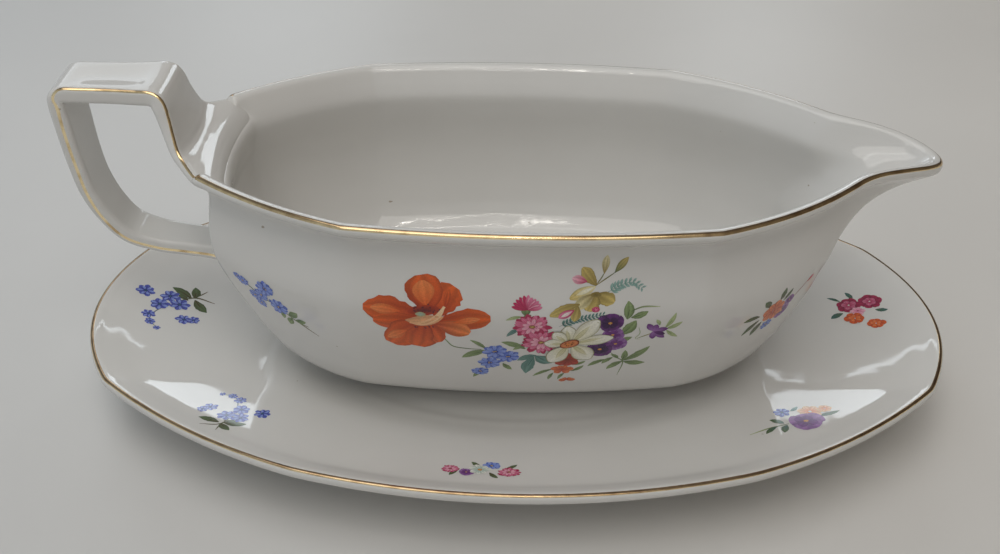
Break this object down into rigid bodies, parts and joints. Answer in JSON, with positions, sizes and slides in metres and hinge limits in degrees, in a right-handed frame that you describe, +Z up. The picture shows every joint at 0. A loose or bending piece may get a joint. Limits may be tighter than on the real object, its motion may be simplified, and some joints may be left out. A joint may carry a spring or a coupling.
{
  "type": "gravy boat",
  "caption": "Eight-sided porcelain gravy boat with an angular strap handle and a pouring lip, standing on its own oval-octagonal underplate.",
  "frame": {"origin": "centre of the underplate's foot, on the surface it stands on", "axes": "+Z up, +X towards the pouring lip, -Y towards the front long side"},
  "size_m": [0.2354, 0.1428, 0.0903],
  "materials": {
    "porcelain": "glossy clear glaze over white porcelain",
    "gilding": "burnished gold line, slightly worn",
    "printed_enamel": "coloured flowers fired onto the glaze, glossy"
  },
  "bodies": {
    "underplate": {"underplate": "porcelain", "underplate_rim_gilding": "gilding", "underplate_sprigs": "printed_enamel"},
    "boat": {"bowl": "porcelain", "handle": "porcelain", "bowl_rim_gilding": "gilding", "handle_gilding": "gilding", "bowl_front_bouquet": "printed_enamel", "bowl_back_bouquet": "printed_enamel", "bowl_sprigs": "printed_enamel"}
  },
  "joints": [
    {"name": "boat_lift", "type": "slide", "parent": "underplate", "child": "boat", "axis": [0, 0, 1], "range_m": [0, 0.12]}
  ]
}
